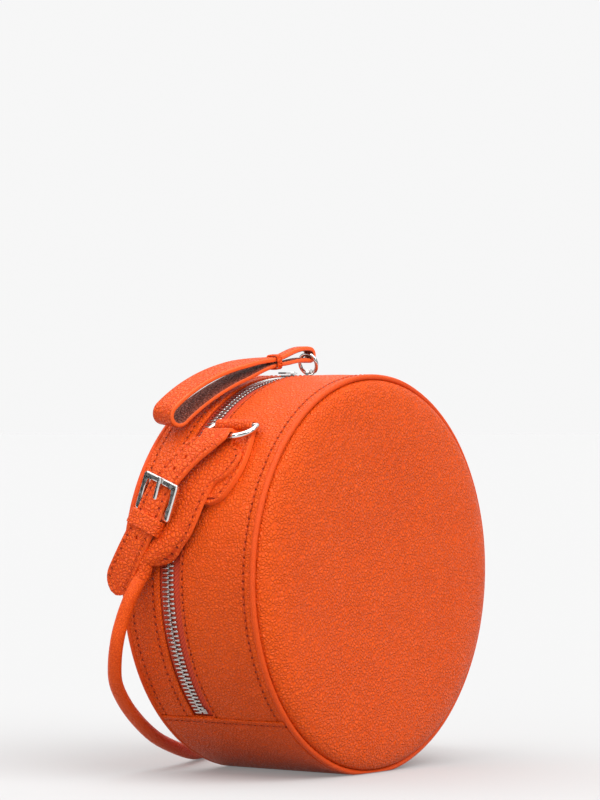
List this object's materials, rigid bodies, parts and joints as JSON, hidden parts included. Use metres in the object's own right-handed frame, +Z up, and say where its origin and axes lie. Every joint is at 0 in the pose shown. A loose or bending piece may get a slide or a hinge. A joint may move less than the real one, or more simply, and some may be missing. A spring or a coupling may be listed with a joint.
{
  "type": "round leather shoulder bag",
  "caption": "Drum-shaped orange leather bag with a zip round its rim, a hand loop on the zip ring, D-rings, and a buckled rolled shoulder strap.",
  "frame": {"origin": "on the surface that the bag stands on, under the middle of the drum", "axes": "+Z up, +Y along the drum's axis towards the back that opens, so the front disc faces -Y"},
  "size_m": [0.2444, 0.1582, 0.2049],
  "materials": {
    "orange_leather": "satin fine-grained leather",
    "strap_leather": "satin leather with painted edges",
    "edge_binding": "satin rolled leather",
    "lining_cloth": "matte cotton cloth",
    "board": "matte fibre board",
    "zip_tape": "woven tape",
    "zip_metal": "polished teeth and sliders",
    "nickel": "satin nickel"
  },
  "bodies": {
    "bag": {"front_panel": "orange_leather", "front_edge_binding": "edge_binding", "front_gusset": "orange_leather", "base_panel": "orange_leather", "base_board": "board", "front_lining": "lining_cloth", "lower_back_panel": "orange_leather", "lower_back_binding": "edge_binding", "front_zip_tape": "zip_tape", "front_zip_teeth": "zip_metal", "zip_end_stops": "zip_metal", "left_ring_tab": "strap_leather", "left_d_ring": "nickel", "left_strap_end": "strap_leather", "buckle_strap": "strap_leather", "buckle_frame": "nickel", "strap_keeper": "strap_leather", "right_ring_tab": "strap_leather", "right_d_ring": "nickel", "right_strap_end": "strap_leather", "left_strap_cord": "strap_leather", "strap_coil": "strap_leather", "right_strap_cord": "strap_leather"},
    "back": {"back_panel": "orange_leather", "back_edge_binding": "edge_binding", "back_gusset": "orange_leather", "back_lining": "lining_cloth", "back_zip_tape": "zip_tape", "back_zip_teeth": "zip_metal"},
    "left_slider": {"left_zip_slider": "zip_metal", "left_zip_pull": "zip_metal"},
    "right_slider": {"right_zip_slider": "zip_metal"},
    "ring": {"puller_ring": "nickel"},
    "loop": {"hand_loop": "strap_leather", "loop_binding": "edge_binding"},
    "prong": {"buckle_prong": "nickel"}
  },
  "joints": [
    {"name": "back_hinge", "type": "hinge", "parent": "bag", "child": "back", "pos_m": [0, 0.046, 0.02811], "axis": [-1, 0, 0], "range_deg": [0, 60]},
    {"name": "right_slider_run", "type": "hinge", "parent": "bag", "child": "right_slider", "pos_m": [0, 0.011, 0.0948], "axis": [0, -1, 0], "range_deg": [-118, 0]},
    {"name": "left_slider_run", "type": "hinge", "parent": "bag", "child": "left_slider", "pos_m": [0, 0.011, 0.0948], "axis": [0, -1, 0], "range_deg": [0, 124]},
    {"name": "ring_swing", "type": "hinge", "parent": "right_slider", "child": "ring", "pos_m": [0.01532, 0.011, 0.19154], "axis": [0, 1, 0], "range_deg": [0, 110]},
    {"name": "loop_swing", "type": "hinge", "parent": "ring", "child": "loop", "pos_m": [0.01268, 0.011, 0.20076], "axis": [0, 1, 0], "range_deg": [0, 70]},
    {"name": "prong_lift", "type": "hinge", "parent": "bag", "child": "prong", "pos_m": [-0.09804, 0.01813, 0.12555], "axis": [-0.1462, -0.9397, -0.3092], "range_deg": [0, 30]}
  ]
}
